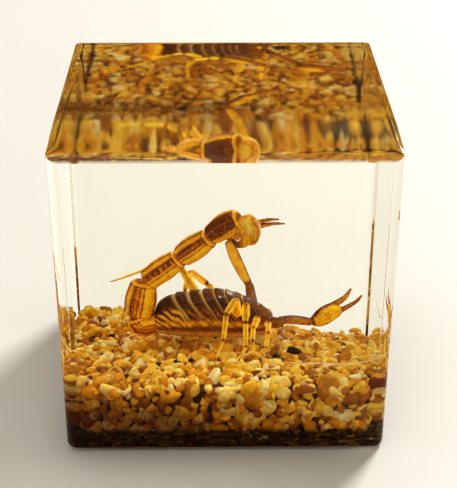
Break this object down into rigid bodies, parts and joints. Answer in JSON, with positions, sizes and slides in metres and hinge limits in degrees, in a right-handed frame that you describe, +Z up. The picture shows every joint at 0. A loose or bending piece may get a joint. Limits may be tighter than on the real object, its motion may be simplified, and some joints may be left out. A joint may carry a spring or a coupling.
{
  "type": "scorpion in resin block",
  "caption": "Clear cast resin block with a dried scorpion standing on a bed of small pebbles, for a desk or display shelf.",
  "frame": {"origin": "middle of the block's base, where it rests", "axes": "+X along the front face to the right, the way the scorpion looks; +Y from the front face to the back; +Z up"},
  "size_m": [0.045, 0.0412, 0.0463],
  "materials": {
    "resin": "clear cast resin, polished, faintly warm",
    "pebbles": "small rounded honey, cream and brown pebbles, wet-looking in the resin",
    "chitin": "glossy amber and dark brown scorpion shell"
  },
  "bodies": {
    "root": {"resin_lower": "resin", "resin_upper": "resin", "gravel_bed": "pebbles", "scorpion": "chitin"}
  },
  "joints": []
}
